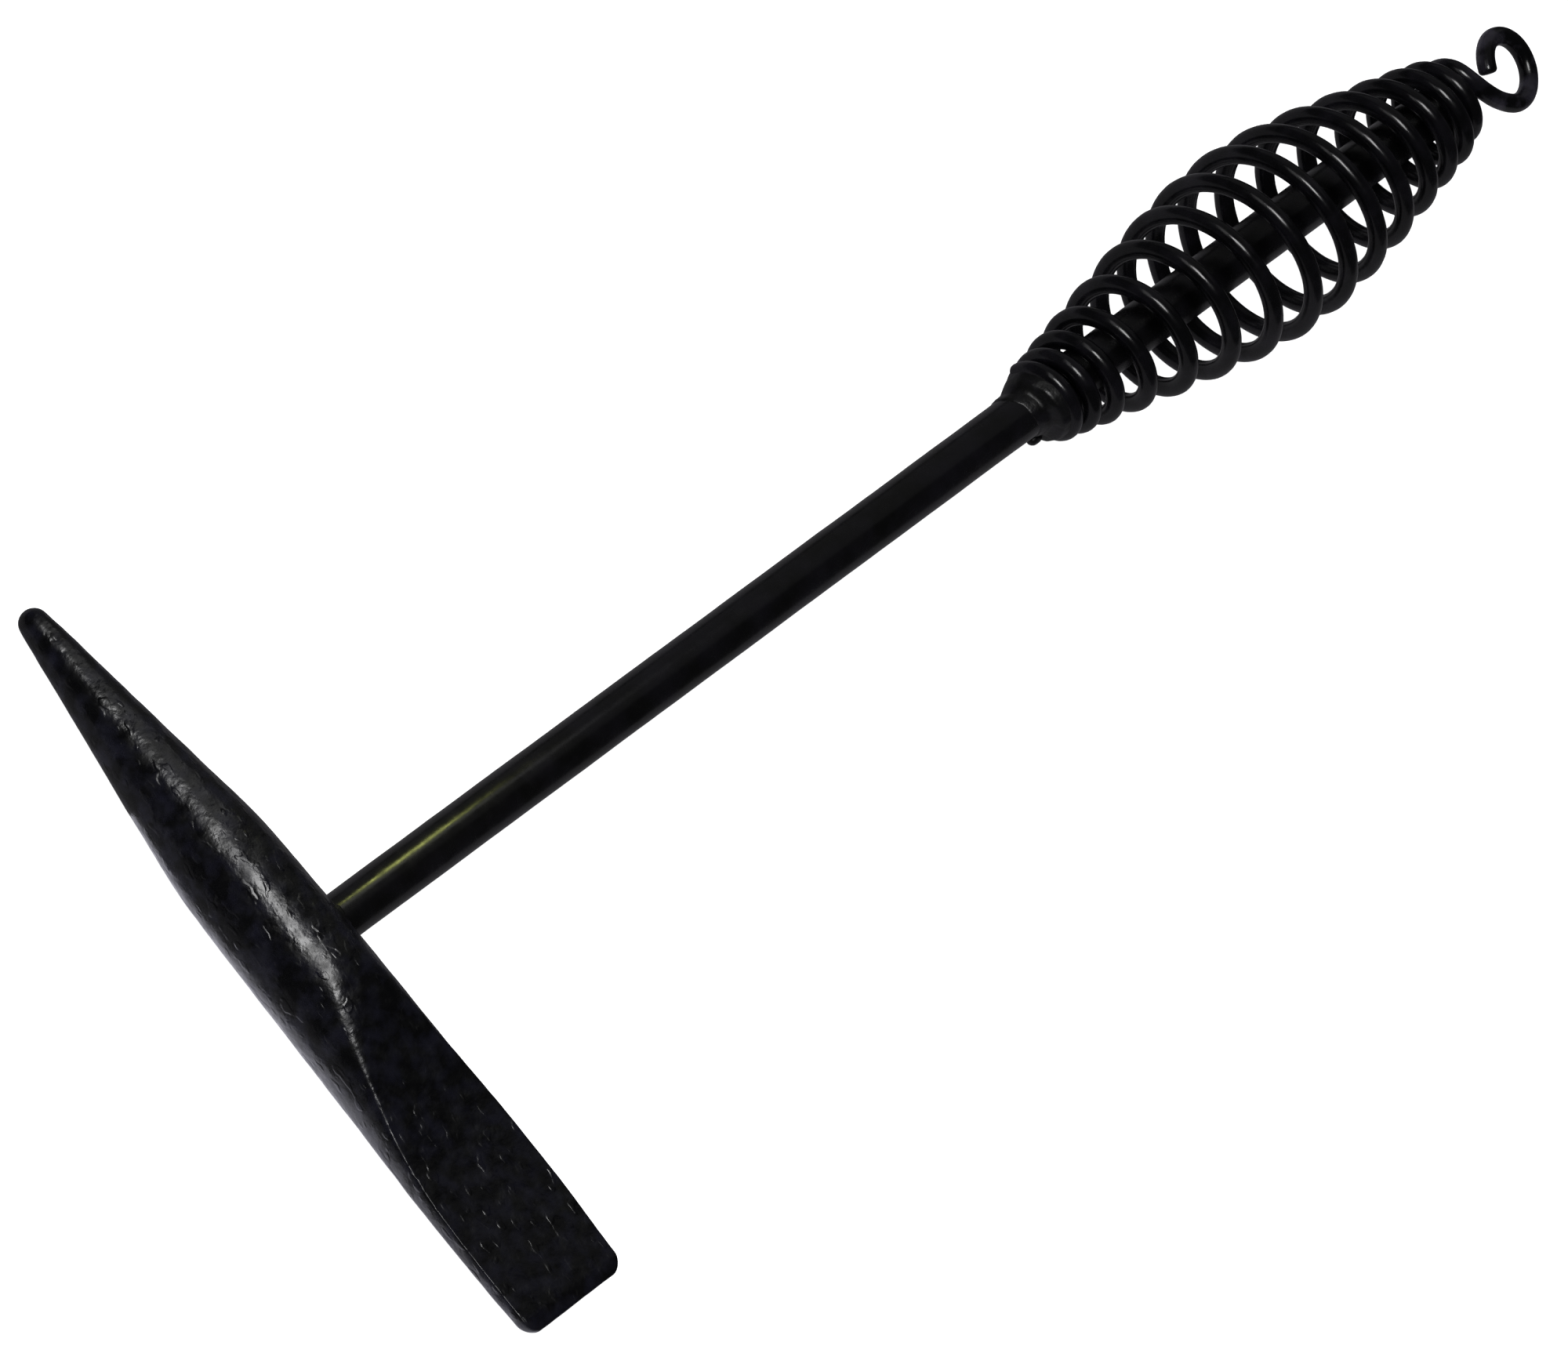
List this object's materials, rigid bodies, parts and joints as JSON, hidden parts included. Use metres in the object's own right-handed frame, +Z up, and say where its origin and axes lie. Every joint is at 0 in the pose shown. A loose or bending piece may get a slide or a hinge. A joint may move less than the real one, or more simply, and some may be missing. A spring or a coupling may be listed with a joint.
{
  "type": "chipping hammer",
  "caption": "All-steel chipping hammer with a pointed and a chisel end, a round rod and a barrel-shaped wound wire grip that ends in a hanging ring.",
  "frame": {"origin": "on the surface that the hammer lies on, under the middle of its box", "axes": "+X along the rod from the head to the hanging ring, +Y towards the head's point, +Z up from the surface"},
  "size_m": [0.3084, 0.134, 0.0325],
  "materials": {
    "forging_enamel": "black semi-gloss enamel over a forged skin",
    "rod_enamel": "black semi-gloss enamel over drawn bar",
    "wire_enamel": "black semi-gloss enamel over spring wire",
    "weld_enamel": "black semi-gloss enamel over weld bead"
  },
  "bodies": {
    "root": {"head": "forging_enamel", "rod": "rod_enamel", "grip_spring": "wire_enamel", "head_weld": "weld_enamel", "front_spring_weld": "weld_enamel", "front_tack_weld": "weld_enamel", "rear_spring_weld": "weld_enamel"}
  },
  "joints": []
}
